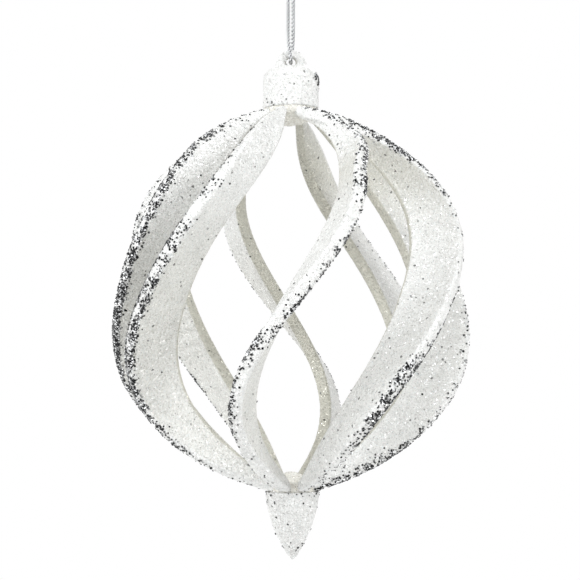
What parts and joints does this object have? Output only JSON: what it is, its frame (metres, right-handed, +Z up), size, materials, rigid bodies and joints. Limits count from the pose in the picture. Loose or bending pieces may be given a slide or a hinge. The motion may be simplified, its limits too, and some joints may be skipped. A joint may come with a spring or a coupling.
{
  "type": "hanging ornament",
  "caption": "Open spiral ball ornament with a domed cap, an icicle tip and a doubled metallic hanging cord.",
  "frame": {"origin": "inside top of the hanging loop, which the ornament hangs from", "axes": "+Z up along the cord; +X to the right and +Y to the back of the eyelet's lug, whose hole runs along Y"},
  "size_m": [0.0885, 0.0898, 0.1599],
  "materials": {
    "white_glitter": "fine white glitter with coarse silver flakes on the ribs' outer rims",
    "hub_plastic": "fine white glitter over glued joints",
    "silver_cord": "braided metallic thread"
  },
  "bodies": {
    "hanger": {"hanging_loop": "silver_cord", "knot": "silver_cord"},
    "cord": {"cord": "silver_cord"},
    "ornament": {"cap": "white_glitter", "rib_1": "white_glitter", "rib_2": "white_glitter", "rib_3": "white_glitter", "rib_4": "white_glitter", "rib_5": "white_glitter", "rib_6": "white_glitter", "rib_7": "white_glitter", "rib_8": "white_glitter", "top_hub": "hub_plastic", "bottom_hub": "hub_plastic", "icicle_tip": "white_glitter"}
  },
  "joints": [
    {"name": "cord_twist", "type": "hinge", "parent": "hanger", "child": "cord", "pos_m": [0, 0, -0.0145], "axis": [0, 0, 1], "range_deg": [-180, 180]},
    {"name": "eyelet_swing", "type": "hinge", "parent": "cord", "child": "ornament", "pos_m": [0, 0, -0.0345], "axis": [0, 1, 0], "range_deg": [-60, 60]}
  ]
}
